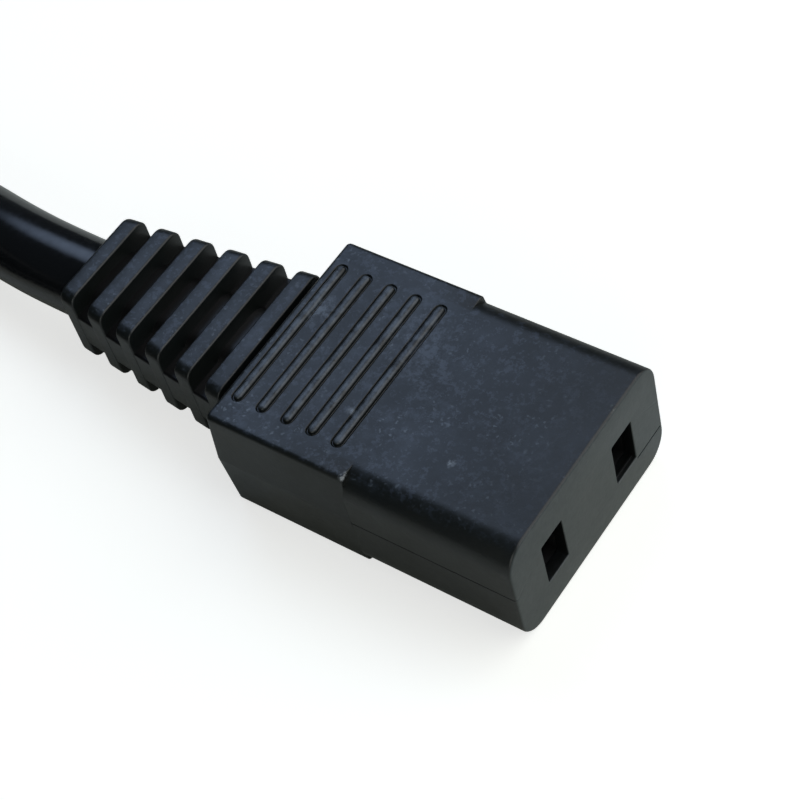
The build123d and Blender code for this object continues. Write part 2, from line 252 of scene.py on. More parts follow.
def flecks(tree, coords, spacing_mm, size):
    """Ragged spots, one in each cell of a distorted Voronoi pattern. Their size is a share of a cell, and
    so is the wobble, which shifts the pattern by up to about one cell."""
    scale = scale_for(spacing_mm)
    wobble_inputs = {"Vector": coords, "Scale": 1.7 * scale, "Detail": 2.0}
    wobble = add_node(tree, "ShaderNodeTexNoise", wobble_inputs, out="Color")
    shift = add_node(tree, "ShaderNodeVectorMath", {0: wobble, "Scale": 1.1 / scale}, operation="SCALE")
    moved = add_node(tree, "ShaderNodeVectorMath", [coords, shift], operation="ADD")
    dots = add_node(tree, "ShaderNodeTexVoronoi", {"Vector": moved, "Scale": scale}, out="Distance")
    return add_node(tree, "ShaderNodeMapRange", [dots, size, 0.3 * size])


def moulded_pvc(name, colour, worn, roughness, dust, on_connector=False):
    """Black PVC from an eroded steel mould. To the eye it is a dull satin black: a fine grain breaks up
    the gloss, handling leaves cloudy paler marks, and what faces up carries dust, as haze, blotches and
    specks."""
    material, tree = new_material(name)
    coords = add_node(tree, "ShaderNodeTexCoord", out="Object")
    # Each pattern's size in millimetres, its detail and its roughness
    looks = {
        # The mould's grain is about 0.05 mm, too fine to show, so it is drawn eight times as coarse.
        "grain": (0.385, 3.0, 0.6),
        # The skin is uneven where the plastic shrank, over a few millimetres.
        "ripple": (2.38, 2.0, 0.5),
        # Marks left by fingers, and the zones where dust has stayed
        "clouds": (7.69, 4.0, 0.62),
        "zones": (6.67, 3.0, 0.6),
        # Haze and blotches of dust, which also break up what is rubbed or worn
        "mottle": (1.43, 5.0, 0.7),
        "blotches": (0.769, 3.0, 0.75),
    }
    pattern = {}
    for title, (size_mm, detail, rough) in looks.items():
        look = {"Vector": coords, "Scale": scale_for(size_mm), "Detail": detail, "Roughness": rough}
        pattern[title] = add_node(tree, "ShaderNodeTexNoise", look)

    # Dust lies on what is within 14 degrees of level, and none is left at 41 degrees. It thins out over
    # the 10 mm behind the connector's face, where hands and sockets wipe it off.
    normal = add_node(tree, "ShaderNodeNewGeometry", out="Normal")
    up = add_node(tree, "ShaderNodeSeparateXYZ", [normal], out="Z")
    upward = add_node(tree, "ShaderNodeMapRange", [up, 0.75, 0.97])
    if on_connector:
        x = add_node(tree, "ShaderNodeSeparateXYZ", [coords], out="X")
        thin_out = [x, (FACE_X - 10) * MM, (FACE_X - 2) * MM, 1.0, 0.25]
        unwiped = add_node(tree, "ShaderNodeMapRange", thin_out)
        upward = add_node(tree, "ShaderNodeMath", [upward, unwiped], operation="MULTIPLY")
    dusty = add_node(tree, "ShaderNodeMath", [upward, dust], operation="MULTIPLY")
    # Each mark fades in between two values of its pattern.
    zone = add_node(tree, "ShaderNodeMapRange", [pattern["zones"], 0.4, 0.62])
    cloudy = add_node(tree, "ShaderNodeMapRange", [pattern["clouds"], 0.4, 0.75, 0.0, 0.6])
    hazy = add_node(tree, "ShaderNodeMapRange", [pattern["mottle"], 0.48, 0.7])
    patchy = add_node(tree, "ShaderNodeMapRange", [pattern["blotches"], 0.52, 0.62])
    # Grains of dust and lint lie two thirds of a millimetre apart, and larger ones nearly 2 mm.
    specks = [flecks(tree, coords, 0.667, 0.26), flecks(tree, coords, 1.786, 0.13)]
    speck = add_node(tree, "ShaderNodeMath", specks, operation="MAXIMUM")

    base = lay_over(tree, linear(colour), linear(worn), cloudy)
    base = lay_over(tree, base, linear("373f4a"), hazy, zone, dusty)
    base = lay_over(tree, base, linear("323943"), patchy, dusty)
    base = lay_over(tree, base, linear("5e6872"), speck, zone, dusty)
    if on_connector:
        base = connector_marks(tree, coords, base, up, pattern)
    gloss = [pattern["clouds"], 0.3, 0.8, roughness + 0.06, roughness - 0.06]
    grained = {"Height": pattern["grain"], "Strength": 0.35, "Distance": 0.03 * MM}
    rippled = {"Height": pattern["ripple"], "Strength": 0.4, "Distance": 0.06 * MM}
    rippled["Normal"] = add_node(tree, "ShaderNodeBump", grained)
    surface = {
        "Base Color": base,
        "Roughness": add_node(tree, "ShaderNodeMapRange", gloss),
        "IOR": 1.53,
        "Normal": add_node(tree, "ShaderNodeBump", rippled),
    }
    give_surface(tree, surface)
    return material


# Worn places on the connector, and one painted highlight: where, how far each reaches, how strong it is,
# and its shade. They are the chipped corner at the step, painted pale as a highlight, a rubbed spot at
# the grip's rear, scratched patches and small nicks.
WEAR_AND_HIGHLIGHT_PLACES = (
    # The first two are the step's chipped corner, with a painted highlight on it
    ((10.3, -10.6, 12.6), 0.42, 1.0, "b4babd"),
    ((10.42, -10.1, 12.63), 0.36, 1.0, "9ba2a6"),
    ((-1.8, 3.1, 12.65), 2.0, 0.9, "565f69"),
    ((7.2, -4.7, 12.65), 0.6, 1.0, "717a83"),
    ((8.2, 4.6, 12.65), 3.4, 0.6, "4a535f"),
    ((10.4, 1.7, 12.65), 3.2, 0.5, "48515d"),
    ((17.6, -5.3, 12.65), 0.6, 1.0, "6c757e"),
    ((26.75, 5.35, 12.6), 0.55, 1.0, "565f5c"),
)


def connector_marks(tree, coords, base, up, pattern):
    """What only the connector has: worn places with a painted highlight at the step, painted shade in the
    hollows and slots, rubbed ridges, and a scuffed face painted lighter as a reflection.
    """
    x = add_node(tree, "ShaderNodeSeparateXYZ", [coords], out="X")
    z = add_node(tree, "ShaderNodeSeparateXYZ", [coords], out="Z")
    ragged = add_node(tree, "ShaderNodeMapRange", [pattern["blotches"], 0.42, 0.6])
    for place_mm, reach_mm, strength, shade in WEAR_AND_HIGHLIGHT_PLACES:
        here = near_place(tree, coords, place_mm, reach_mm)
        base = lay_over(tree, base, linear(shade), here, ragged, strength)

    # Painted shade: the hollows between the ribs are painted nearly black, where little light gets down.
    rib_top = AXIS_Z + RIB_HALF_HEIGHT
    behind = [x, (GRIP_REAR_X - 0.3) * MM, GRIP_REAR_X * MM, 1.0, 0.0]
    below = [z, (rib_top - 0.9) * MM, (rib_top - 0.5) * MM, 1.0, 0.0]
    painted_rib_shade = [add_node(tree, "ShaderNodeMapRange", edge) for edge in (behind, below, [up, 0.1, 0.4])]
    base = lay_over(tree, base, linear("030304"), *painted_rib_shade)

    # The ridges' crests are rubbed pale.
    crest = AXIS_Z + HALF_HEIGHT + 0.09
    high = add_node(tree, "ShaderNodeMapRange", [z, crest * MM, (crest + 0.12) * MM])
    rubbed = add_node(tree, "ShaderNodeMapRange", [pattern["mottle"], 0.38, 0.6, 0.0, 0.9])
    base = lay_over(tree, base, linear("515a64"), high, rubbed)

    # Painted shade: the slots are painted nearly black from just behind the face.
    slots = [near_place(tree, coords, (FACE_X - 0.7, y, SLOT_Z), 5.0) for y in (SLOT_Y, -SLOT_Y)]
    painted_slot_shade = add_node(tree, "ShaderNodeMath", slots, operation="MAXIMUM")
    inner_edge = [x, (FACE_X - 0.25) * MM, (FACE_X - 0.12) * MM, 1.0, 0.0]
    inner = add_node(tree, "ShaderNodeMapRange", inner_edge)
    base = lay_over(tree, base, linear("030304"), inner, painted_slot_shade)

    # The face is painted a lighter, nearly even grey: partly scuffs, partly a painted reflection of the
    # lit floor in front of it.
    uneven = add_node(tree, "ShaderNodeMapRange", [pattern["blotches"], 0.35, 0.7])
    face_grey_and_painted_light = lay_over(tree, linear("3a4142"), linear("454b4c"), uneven)
    face = add_node(tree, "ShaderNodeMapRange", [x, (FACE_X - 0.12) * MM, (FACE_X - 0.02) * MM])
    return lay_over(tree, base, face_grey_and_painted_light, face)


def extruded_pvc(name, colour, roughness):
    """Extruded PVC sheath. It is smooth and semi-gloss, so it carries one clear streak of light, and the
    streak wavers a little where the extruder left the wall uneven."""
    material, tree = new_material(name)
    coords = add_node(tree, "ShaderNodeTexCoord", out="Object")
    # The wall is uneven over some 5 mm.
    uneven = {"Vector": coords, "Scale": scale_for(5.56), "Detail": 2.0}
    waves = add_node(tree, "ShaderNodeTexNoise", uneven)
    # Its skin has a texture of under 0.1 mm, too fine to show, so it is drawn at 0.67 mm.
    skin = {"Vector": coords, "Scale": scale_for(0.667), "Detail": 2.0}
    fine = add_node(tree, "ShaderNodeTexNoise", skin)
    gloss = [fine, 0.3, 0.7, roughness - 0.04, roughness + 0.05]
    wavy = {"Height": waves, "Strength": 0.5, "Distance": 0.08 * MM}
    textured = {"Height": fine, "Strength": 0.15, "Distance": 0.02 * MM}
    textured["Normal"] = add_node(tree, "ShaderNodeBump", wavy)
    surface = {
        "Base Color": linear(colour),
        "Roughness": add_node(tree, "ShaderNodeMapRange", gloss),
        "IOR": 1.53,
        "Normal": add_node(tree, "ShaderNodeBump", textured),
    }
    give_surface(tree, surface)
    return material


def plain_finish(name, colour, roughness, metallic=0.0):
    """One colour, with a faint unevenness in its gloss from handling, about a millimetre across."""
    material, tree = new_material(name)
    coords = add_node(tree, "ShaderNodeTexCoord", out="Object")
    handled = {"Vector": coords, "Scale": scale_for(1.11), "Detail": 3.0}
    gloss = [add_node(tree, "ShaderNodeTexNoise", handled), 0.3, 0.7, roughness - 0.05, roughness + 0.07]
    surface = {
        "Base Color": linear(colour),
        "Metallic": metallic,
        "Roughness": add_node(tree, "ShaderNodeMapRange", gloss),
    }
    give_surface(tree, surface)
    return material


def woven_band(name, colour):
    """Woven polyester band. It is matt, with its threads as a fine unevenness half a millimetre apart."""
    material, tree = new_material(name)
    coords = add_node(tree, "ShaderNodeTexCoord", out="Object")
    threads = {"Vector": coords, "Scale": scale_for(0.556), "Detail": 1.0}
    weave = add_node(tree, "ShaderNodeTexNoise", threads)
    woven = {"Height": weave, "Strength": 0.6, "Distance": 0.1 * MM}
    normal = add_node(tree, "ShaderNodeBump", woven)
    give_surface(tree, {"Base Color": linear(colour), "Roughness": 0.8, "Normal": normal})
    return material


CONNECTOR = moulded_pvc("moulded_pvc_black", "0d110f", "191e20", 0.36, 0.8, on_connector=True)
# The same plastic, a little duller and cleaner
PLUG = moulded_pvc("moulded_pvc_plug", "0f1114", "1a1d21", 0.42, 0.2)
SHEATH = extruded_pvc("extruded_pvc_black", "111315", 0.17)
# Hard moulded plastic, matt and nearly black; its blackness is partly painted shade, so that the slots
# look deep
INSERT = plain_finish("moulded_insert_plastic", "07080a", 0.6)
# Stamped sheet brass, yellow and bright from the press
BRASS = plain_finish("stamped_brass", "b8954f", 0.32, metallic=1.0)
# Nickel-plated brass, a warm silver with a soft shine
BLADE = plain_finish("nickel_plated_blade", "c9c2b4", 0.24, metallic=1.0)
# Bare copper wires, reddish, and seen as one bundle because each is too thin to show
COPPER = plain_finish("bare_copper_strands", "b87346", 0.35, metallic=1.0)
# Extruded PVC insulation, smooth and satin
CORE_BLACK = plain_finish("extruded_pvc_core_black", "1c1c1c", 0.4)
CORE_WHITE = plain_finish("extruded_pvc_core_white", "d8d6cf", 0.4)
BAND = woven_band("woven_band", "1b1b1d")


# Mesh helpers


def add_object(name, data):
    obj = bpy.data.objects.new(name, data)
    bpy.context.scene.collection.objects.link(obj)
    return obj


class Build:
    """Collects rings of points and the faces between them, and makes one mesh of them."""

    def __init__(self):
        self.verts = []
        self.faces = []

    def ring(self, points):
        """Adds points and gives back their places in the mesh."""
        start = len(self.verts)
        self.verts.extend(points)
        return list(range(start, len(self.verts)))

    def bridge(self, a, b, closed=True):
        """The faces between two rings."""
        for j in range(len(a) if closed else len(a) - 1):
            k = (j + 1) % len(a)
            self.faces.append((a[j], a[k], b[k], b[j]))

    def skin(self, rings, closed=True):
        """The faces between each ring and the next."""
        for a, b in zip(rings, rings[1:]):
            self.bridge(a, b, closed)

    def cap(self, ring, flip=False):
        self.faces.append(tuple(reversed(ring)) if flip else tuple(ring))

    def fill(self, outer, holes):
        """A flat face with holes, cut into triangles."""
        loops = [outer, *holes]
        flat = [i for loop in loops for i in loop]
        points = [[Vector(self.verts[i]) for i in loop] for loop in loops]
        for triangle in tessellate_polygon(points):
            self.faces.append(tuple(flat[i] for i in triangle))

    def mesh(self, name, material):
        data = bpy.data.meshes.new(name)
        data.from_pydata([tuple(c * MM for c in v) for v in self.verts], [], self.faces)
        bm = bmesh.new()
        bm.from_mesh(data)
        bmesh.ops.remove_doubles(bm, verts=bm.verts, dist=MERGE_DISTANCE * MM)
        bmesh.ops.recalc_face_normals(bm, faces=bm.faces)
        for face in bm.faces:
            face.smooth = True
        bm.to_mesh(data)
        bm.free()
        data.set_sharp_from_angle(angle=math.radians(SHARP_ANGLE))
        data.materials.append(material)
        return add_object(name, data)


def place(obj, nodes):
    """Puts a piece on the part, in place of the CAD nodes that it dresses."""
    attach(obj, "root")
    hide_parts(*nodes)
    return obj


def quarter(steps):
    """The way round an edge with a radius of 1: how far along it, and how far it is still set in."""
    turns = [math.pi / 2 * i / steps for i in range(steps + 1)]
    return [(1 - math.cos(t), 1 - math.sin(t)) for t in turns]


def rounded_outline(half_y, half_z, radius, steps=6):
    """Points and outward normals of a rounded rectangle, counterclockwise seen from +X."""
    out = []
    for sy, sz, start in ((1, -1, -90), (1, 1, 0), (-1, 1, 90), (-1, -1, 180)):
        cy, cz = sy * (half_y - radius), sz * (half_z - radius)
        for i in range(steps + 1):
            a = math.radians(start + 90 * i / steps)
            ny, nz = math.cos(a), math.sin(a)
            out.append((cy + radius * ny, cz + radius * nz, ny, nz))
    return out


def section(x, outline, inset=0.0, y=0.0, z=AXIS_Z):
    """The outline's points at an x, all set in alike, about a middle at y and z."""
    return [(x, y + p[0] - inset * p[2], z + p[1] - inset * p[3]) for p in outline]


def slab(build, x_rear, x_front, outline_at, rear_edge, front_edge):
    """A closed block along X with rounded ends. outline_at gives its section at an x."""
    rings = []
    for along, inset in quarter(4):
        x = x_rear + rear_edge * along
        rings.append(section(x, outline_at(x), rear_edge * inset))
    for inset, short in quarter(4):
        x = x_front - front_edge * short
        rings.append(section(x, outline_at(x), front_edge * inset))
    loops = [build.ring(r) for r in rings]
    build.skin(loops)
    build.cap(loops[0], flip=True)
    build.cap(loops[-1])


def box(build, low, high):
    """A small closed box between two corners."""
    ends = (low, high)
    rear, front = [
        build.ring([(x, ends[i][1], ends[j][2]) for i, j in CORNERS]) for x in (low[0], high[0])
    ]
    build.bridge(rear, front)
    build.cap(rear, flip=True)
    build.cap(front)


# The connector's body


def row_tree(material):
    """Geometry nodes that repeat a piece along a line and draw its copies in towards the cord."""
    tree = bpy.data.node_groups.new("pieces_in_a_row", "GeometryNodeTree")
    sizes = [("Piece", "Geometry"), ("Count", "Int"), ("First", "Vector"), ("Step", "Vector")]
    sizes += [(name, "Float") for name in ("Grip X", "End X", "Narrowing", "Lean")]
    for name, kind in sizes:
        tree.interface.new_socket(name, in_out="INPUT", socket_type="NodeSocket" + kind)
    tree.interface.new_socket("Row", in_out="OUTPUT", socket_type="NodeSocketGeometry")
    given = add_node(tree, "NodeGroupInput", out=None).outputs

    line_inputs = {"Count": given["Count"], "Start Location": given["First"], "Offset": given["Step"]}
    line = add_node(tree, "GeometryNodeMeshLine", line_inputs)
    copy_inputs = {"Points": line, "Instance": given["Piece"]}
    copies = add_node(tree, "GeometryNodeInstanceOnPoints", copy_inputs)
    real = add_node(tree, "GeometryNodeRealizeInstances", [copies])

    position = add_node(tree, "GeometryNodeInputPosition")
    here = add_node(tree, "ShaderNodeSeparateXYZ", [position], out=None).outputs
    share = add_node(tree, "ShaderNodeMapRange", [here["X"], given["Grip X"], given["End X"]])
    side = add_node(tree, "ShaderNodeMath", [here["Y"]], operation="SIGN")
    inwards = add_node(tree, "ShaderNodeMath", [side, given["Narrowing"]], operation="MULTIPLY")
    across = add_node(tree, "ShaderNodeMath", [given["Lean"], inwards], operation="SUBTRACT")
    move = add_node(tree, "ShaderNodeMath", [across, share], operation="MULTIPLY")
    offset = add_node(tree, "ShaderNodeCombineXYZ", {"Y": move})
    placed = add_node(tree, "GeometryNodeSetPosition", {"Geometry": real, "Offset": offset})
    faced = add_node(tree, "GeometryNodeSetMaterial", {"Geometry": placed, "Material": material})
    add_node(tree, "NodeGroupOutput", {"Row": faced}, out=None)
    return tree


ROW = row_tree(CONNECTOR)


def add_row(build, one, count, first_x, step_x, narrowing=0.0, lean=0.0):
    """Adds a piece to the build as a row of copies along X."""
    piece = one.mesh("piece", CONNECTOR)
    sizes = {
        "Count": count,
        "First": (first_x * MM, 0.0, 0.0),
        "Step": (step_x * MM, 0.0, 0.0),
        "Grip X": GRIP_REAR_X * MM,
        "End X": RELIEF_END_X * MM,
        "Narrowing": narrowing * MM,
        "Lean": lean * MM,
    }
    modifier = piece.modifiers.new("row", "NODES")
    modifier.node_group = ROW
    for item in ROW.interface.items_tree:
        if item.name in sizes:
            modifier[item.identifier] = sizes[item.name]
    graph = bpy.context.evaluated_depsgraph_get()
    made = bpy.data.meshes.new_from_object(piece.evaluated_get(graph), depsgraph=graph)
    bpy.data.objects.remove(piece)
    start = len(build.verts)
    build.verts.extend(tuple(c / MM for c in vertex.co) for vertex in made.vertices)
    build.faces.extend(tuple(start + i for i in face.vertices) for face in made.polygons)


def grip_quarter(waist_z):
    """Right upper part of the grip's outline, from the shared flat's edge down to the waist."""
    edge = Vector((GRIP_EDGE_HALF, HALF_HEIGHT))
    waist = Vector((GRIP_WAIST_HALF, waist_z))
    along_flat = Vector((-1.0, 0.0))
    along_side = (waist - edge).normalized()
    half = math.acos(along_flat.dot(along_side)) / 2
    centre = edge + (along_flat + along_side).normalized() * GRIP_CORNER / math.sin(half)
    side_normal = Vector((-along_side.y, along_side.x))
    flat_end = edge.x - GRIP_CORNER / math.tan(half)
    steps = 6
    points = []
    for i in range(steps):
        points.append((FLAT_HALF + (flat_end - FLAT_HALF) * i / steps, HALF_HEIGHT, 0.0, 1.0))
    first = math.pi / 2
    last = math.atan2(side_normal.y, side_normal.x)
    for i in range(steps + 1):
        a = first + (last - first) * i / steps
        ny, nz = math.cos(a), math.sin(a)
        points.append((centre.x + GRIP_CORNER * ny, centre.y + GRIP_CORNER * nz, ny, nz))
    # Down the side, from just below the corner's arc
    corner_end = points[-1][1]
    for z in (*GRIP_SIDE_HEIGHTS, *(waist_z + h for h in ABOVE_WAIST)):
        if z < corner_end - 0.1:
            y = edge.x + (waist.x - edge.x) * (edge.y - z) / (edge.y - waist.y)
            points.append((y, z, side_normal.x, side_normal.y))
    points.append((GRIP_WAIST_HALF, waist_z, 1.0, 0.0))
    return points


def grip_right(waist_z):
    """The right side's outline from the lower flat's edge up to the upper one's."""
    upper = grip_quarter(waist_z)
    lower = [(y, -z, ny, -nz) for y, z, ny, nz in grip_quarter(-waist_z)]
    return lower + list(reversed(upper))[1:]


def on_front_outline(y, z):
    """The nearest point on the front part's rounded rectangle."""
    cy, cz = FLAT_HALF, HALF_HEIGHT - FRONT_CORNER
    if abs(z) <= cz:
        return (FRONT_HALF_WIDTH, z, 1.0, 0.0)
    sz = math.copysign(1.0, z)
    d = Vector((y - cy, z - sz * cz)).normalized()
    return (cy + FRONT_CORNER * d.x, sz * cz + FRONT_CORNER * d.y, d.x, d.y)


def with_seam(insets, depth):
    """The same insets, with the parting line's groove at the outline's middle point."""
    middle = len(insets) // 2
    return [d + depth if i == middle else d for i, d in enumerate(insets)]


def chain(xs, outline, insets):
    """The outline's points, each at its own x and set in by its own inset."""
    return [(x, p[0] - d * p[2], AXIS_Z + p[1] - d * p[3]) for x, p, d in zip(xs, outline, insets)]


def mirrored(points):
    """The left side's chain, running on downwards from the right side's end."""
    return [(x, -y, z) for x, y, z in reversed(points)]


def ridge_loop(x, half_width, height, side):
    """One level of a ridge about x, on the upper flat or the lower one, counterclockwise from above."""
    half_length = (RIDGE_LENGTH - RIDGE_GROOVE) / 2
    z = AXIS_Z + side * (HALF_HEIGHT + height)
    steps = 9
    points = []
    for end, start in ((1, 0), (-1, 180)):
        for i in range(steps + 1):
            a = math.radians(start + 180 * i / steps)
            points.append((x + half_width * math.cos(a), end * half_length + half_width * math.sin(a), z))
    return points


def ridge(side):
    """One groove with its bar."""
    build = Build()
    loops = [build.ring(ridge_loop(0.0, *level, side)) for level in RIDGE_SECTION]
    build.skin(loops)
    build.cap(loops[-1])
    return build


def slot_loop(x, y, grow=0.0):
    """A slot's outline at an x, made larger all round at its chamfered brink."""
    outline = rounded_outline(SLOT_WIDTH / 2 + grow, SLOT_HEIGHT / 2 + grow, SLOT_CORNER + grow, 2)
    return section(x, outline, 0.0, y, SLOT_Z)


def body_rings():
    """Half sections on the right, from the grip's rear to the face, and which ones begin and end the
    shared flat."""
    rear_outline = grip_right(REAR_WAIST)
    step_outline = grip_right(STEP_WAIST)
    front_outline = [on_front_outline(p[0], p[1]) for p in step_outline]
    count = len(rear_outline)
    rings = []
    for along, inset in quarter(5):
        x = GRIP_REAR_X + GRIP_REAR_EDGE * along
        rings.append(chain([x] * count, rear_outline, [GRIP_REAR_EDGE * inset] * count))
    flat_from = len(rings) - 1
    stands = [(Vector(a[:2]) - Vector(b[:2])).length for a, b in zip(step_outline, front_outline)]
    edges = [min(STEP_EDGE, s / 2) for s in stands]
    for inset, short in quarter(3):
        xs = [STEP_X - e * short for e in edges]
        rings.append(chain(xs, step_outline, with_seam([e * inset for e in edges], SEAM_DEPTH_AT_STEP)))
    rings.append(chain([STEP_X] * count, front_outline, with_seam([0.0] * count, SEAM_DEPTH_AT_STEP)))
    flat_to = len(rings)
    for inset, short in quarter(5):
        x = FACE_X - FACE_EDGE * short
        insets = with_seam([FACE_EDGE * inset] * count, SEAM_DEPTH_AT_FACE)
        rings.append(chain([x] * count, front_outline, insets))
    return rings, flat_from, flat_to


def body_shell(build):
    """Grip and front part in one skin, with the ridges, the step and the slotted face."""
    rings, flat_from, flat_to = body_rings()
    right = [build.ring(r) for r in rings]
    left = [build.ring(mirrored(r)) for r in rings]
    build.skin(right, closed=False)
    build.skin(left, closed=False)
    for i in (*range(flat_from), *range(flat_to, len(rings) - 1)):
        for a, b in ((right, left), (left, right)):
            build.faces.append((a[i][-1], b[i][0], b[i + 1][0], a[i + 1][-1]))
    build.cap(right[0] + left[0], flip=True)

    places = [RIDGE_FIRST_X - i * RIDGE_PITCH for i in range(RIDGE_COUNT)]
    for side, a, b in ((1, right, left), (-1, left, right)):
        near = [a[i][-1] for i in range(flat_from, flat_to + 1)]
        far = [b[i][0] for i in range(flat_from, flat_to + 1)]
        holes = [build.ring(ridge_loop(x, *RIDGE_SECTION[0], side)) for x in places]
        build.fill(near + far[::-1], holes)
        add_row(build, ridge(side), RIDGE_COUNT, RIDGE_FIRST_X, -RIDGE_PITCH)

    slots = [build.ring(slot_loop(FACE_X, y, SLOT_EDGE)) for y in (SLOT_Y, -SLOT_Y)]
    seam_corners = [(FACE_SEAM_Y[i], FACE_SEAM_Z[j]) for i, j in CORNERS]
    seam = build.ring([(FACE_X, y, z) for y, z in seam_corners])
    seam_floor = build.ring([(FACE_X - FACE_SEAM_DEPTH, y, z) for y, z in seam_corners])
    build.bridge(seam, seam_floor)
    build.cap(seam_floor)
    build.fill(right[-1] + left[-1], slots + [seam])
    for loop, y in zip(slots, (SLOT_Y, -SLOT_Y)):
        brink = build.ring(slot_loop(FACE_X - SLOT_EDGE_DEPTH, y))
        end = build.ring(slot_loop(FACE_X - SLOT_DEPTH, y))
        build.skin([loop, brink, end])


def slot_flash(build):
    """A thin lip of flash across the far slot's floor, and a speck of it in the near one."""
    floor_z = SLOT_Z - SLOT_HEIGHT / 2
    for y, flash in ((SLOT_Y, FLASH_LIP), (-SLOT_Y, FLASH_SPECK)):
        corners = [(FACE_X + x, y + aside, floor_z + above) for x, aside, above in zip(*flash)]
        box(build, *corners)


def relief_outline(x, half_z, corner, thinner=0.0, steps=6):
    """A section of the tapering strain relief, which leans a little towards the cord's bend."""
    share = (GRIP_REAR_X - x) / (GRIP_REAR_X - RELIEF_END_X)
    half_y = RELIEF_FRONT_HALF + share * (RELIEF_END_HALF - RELIEF_FRONT_HALF) - thinner
    lean = RELIEF_LEAN * share
    return [(y + lean, z, ny, nz) for y, z, ny, nz in rounded_outline(half_y, half_z, corner, steps)]


def relief(build):
    """Six ribs on a side spine and a rounded middle."""

    def straight_outline(x):
        return rounded_outline(RELIEF_FRONT_HALF, RIB_HALF_HEIGHT, RIB_CORNER)

    def rib_outline(x):
        return relief_outline(x, RIB_HALF_HEIGHT, RIB_CORNER)

    def spine_outline(x):
        return relief_outline(x, SPINE_HALF_HEIGHT, SPINE_CORNER, SPINE_SETBACK, 3)

    def middle_outline(x):
        return rounded_outline(MIDDLE_HALF_WIDTH, MIDDLE_HALF_HEIGHT, MIDDLE_CORNER, 8)

    # The row draws its straight ribs in. The last rib has a rounder rear edge, so it is made apart.
    rib = Build()
    slab(rib, -RIB_LENGTH, 0.0, straight_outline, RIB_EDGE, RIB_EDGE)
    first, step = GRIP_REAR_X - FIRST_GAP, RIB_GAP + RIB_LENGTH
    add_row(build, rib, RIB_COUNT - 1, first, -step, RELIEF_FRONT_HALF - RELIEF_END_HALF, RELIEF_LEAN)
    front = first - (RIB_COUNT - 1) * step
    slab(build, front - RIB_LENGTH, front, rib_outline, LAST_RIB_EDGE, RIB_EDGE)
    spine_rear, spine_front = RELIEF_END_X + SPINE_OVERLAP, GRIP_REAR_X + SPINE_OVERLAP
    for outline_at in (spine_outline, middle_outline):
        slab(build, spine_rear, spine_front, outline_at, SPINE_EDGE, SPINE_EDGE)


shell = Build()
body_shell(shell)
relief(shell)
slot_flash(shell)
body = shell.mesh("connector_body_visual", CONNECTOR)
place(body, ["connector_body"])


# The cord: the route of the CAD model's tubes, and the coil's turns between them

SHEATH_POINTS = [
    (-25.4, 0.0, 6.45),
    (-32.4, 0.0, 6.45),
    (-38.8, 0.55, 6.12),
    (-44.6, 1.62, 5.30),
    (-49.4, 2.33, 4.81),
    (-53.6, 2.63, 4.625),
    (-57.4, 2.63, 4.625),
]
CLIMB_POINTS = [
    (-137.889, -38.201, 12.775),
    (-137.889, -50.839, 12.775),
    (-134.618, -63.047, 14.297),
    (-128.299, -73.993, 17.341),
    (-119.362, -82.930, 20.384),
    (-108.417, -89.249, 23.428),
    (-96.209, -92.520, 24.950),
    (-83.570, -92.520, 24.950),
]


def eased(value, start, end):
    """0 before start, 1 after end, and a smooth way between."""
    share = min(max((value - start) / (end - start), 0.0), 1.0)
    return (1 - math.cos(math.pi * share)) / 2


def coil_points():
    """Each layer's turns keep their radius for half a turn and shift by one cord in the other half. The
    lower layer winds inwards for two turns, the third one climbs, and the upper layer winds outwards."""
    points = []
    wound = WOUND_FROM
    while wound < WOUND_TO:
        inwards = eased(wound, 180, 360) + eased(wound, 540, 720)
        outwards = eased(wound, 1260, 1440) + eased(wound, 1620, 1800)
        radius = COIL_RADIUS + TURN_PITCH - TURN_PITCH * (inwards - outwards)
        if 720 < wound < 1260:
            radius -= CLIMB_DRAW_IN * math.sin(math.pi * (wound - 720) / 540) ** 2
        z = COIL_LEVEL + TURN_PITCH * eased(wound, 900, 1080)
        a = math.radians(90 + wound)
        reach = radius * POINTS_OUTSIDE
        points.append((COIL_X + reach * math.cos(a), COIL_Y + reach * math.sin(a), z))
        wound += WOUND_STEP
    return points


def cord_curve(name, points, material):
    """A round tube along the quadratic spline of these points."""
    curve = bpy.data.curves.new(name, "CURVE")
    curve.dimensions = "3D"
    spline = curve.splines.new("NURBS")
    spline.points.add(len(points) - 1)
    for point, (x, y, z) in zip(spline.points, points):
        point.co = (x * MM, y * MM, z * MM, 1.0)
    spline.order_u = 3
    spline.use_endpoint_u = True
    spline.resolution_u = 6
    curve.bevel_depth = SHEATH_RADIUS * MM
    curve.bevel_resolution = 10
    curve.use_fill_caps = True
    curve.materials.append(material)
    return add_object(name, curve)


cord = cord_curve("cord_visual", SHEATH_POINTS + coil_points() + CLIMB_POINTS, SHEATH)
place(cord, ["cord_sheath", "cord_coil", "cord_tail"])


# The plug


